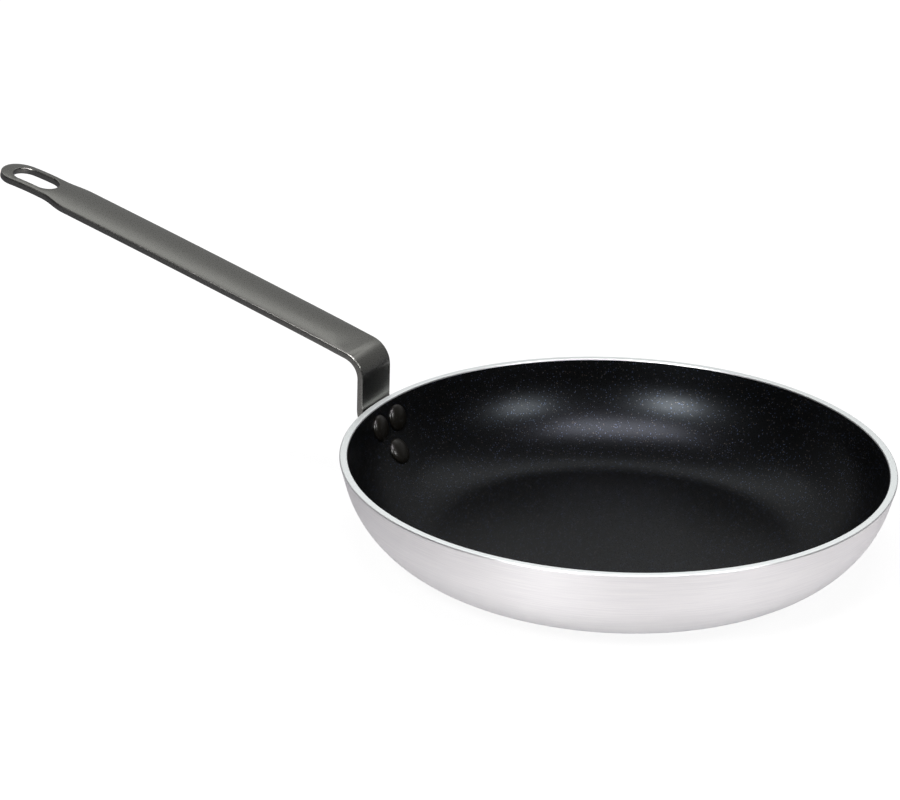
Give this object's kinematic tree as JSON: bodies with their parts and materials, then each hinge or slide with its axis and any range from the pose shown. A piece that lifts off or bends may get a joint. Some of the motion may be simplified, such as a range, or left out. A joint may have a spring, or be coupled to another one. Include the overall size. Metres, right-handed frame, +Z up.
{
  "type": "omelette pan",
  "caption": "Shallow round aluminium pan with a curved flared wall, a non-stick inside and a long riveted strip handle that steps up over the rim and ends in a slotted loop.",
  "frame": {"origin": "centre of the flat base, on the surface the pan stands on", "axes": "+Z up through the pan's centre, the handle runs out along -X and lies in the XZ plane"},
  "size_m": [0.5126, 0.28, 0.1352],
  "materials": {
    "aluminium": "fine turned lines round the wall",
    "nonstick": "near black non-stick coat with fine flecks",
    "handle_paint": "dark grey powder coat, fine grain, semi-gloss",
    "rivet": "dark coat, semi-gloss"
  },
  "bodies": {
    "root": {"pan_body": "aluminium", "nonstick_coating": "nonstick", "handle": "handle_paint", "rivet_upper_left": "rivet", "rivet_upper_right": "rivet", "rivet_lower": "rivet"}
  },
  "joints": []
}
